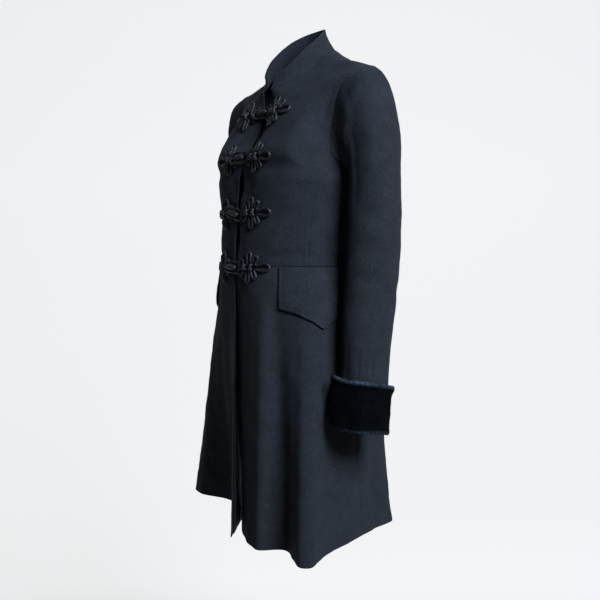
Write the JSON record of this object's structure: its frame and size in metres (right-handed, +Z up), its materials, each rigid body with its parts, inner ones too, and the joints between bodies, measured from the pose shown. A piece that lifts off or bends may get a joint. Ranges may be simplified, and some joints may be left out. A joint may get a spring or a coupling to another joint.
{
  "type": "frog-fastening coat",
  "caption": "Fitted three-quarter coat with stand collar, waist seam, flared skirt, velvet cuffs, pointed pocket flaps and braided frog fastenings, filled out as when worn.",
  "frame": {"origin": "on the body's axis at the height of the nape, where the neck and shoulders hold the coat up", "axes": "+Z up, the wearer faces -Y, and the wearer's left is +X"},
  "size_m": [0.5436, 0.336, 0.9083],
  "materials": {
    "wool_coating": "fine twill wool, matte with a faint nap",
    "facing_wool": "the same wool, inside",
    "cuff_velvet": "short-pile velvet",
    "silk_braid": "satin braid cord"
  },
  "bodies": {
    "root": {"bodice_front_left": "wool_coating", "bodice_back_left": "wool_coating", "skirt_front_left": "wool_coating", "skirt_back_left": "wool_coating", "sleeve_upper_left": "wool_coating", "sleeve_under_left": "wool_coating", "pocket_flap_left": "wool_coating", "bodice_front_right": "wool_coating", "bodice_back_right": "wool_coating", "skirt_front_right": "wool_coating", "skirt_back_right": "wool_coating", "sleeve_upper_right": "wool_coating", "sleeve_under_right": "wool_coating", "pocket_flap_right": "wool_coating", "collar": "wool_coating", "front_facing_left": "facing_wool", "front_facing_right": "facing_wool", "collar_facing": "facing_wool", "cuff_left": "cuff_velvet", "cuff_right": "cuff_velvet", "frog_1_knot_half": "silk_braid", "frog_1_loop_half": "silk_braid", "frog_2_knot_half": "silk_braid", "frog_2_loop_half": "silk_braid", "frog_3_knot_half": "silk_braid", "frog_3_loop_half": "silk_braid", "frog_4_knot_half": "silk_braid", "frog_4_loop_half": "silk_braid"}
  },
  "joints": []
}
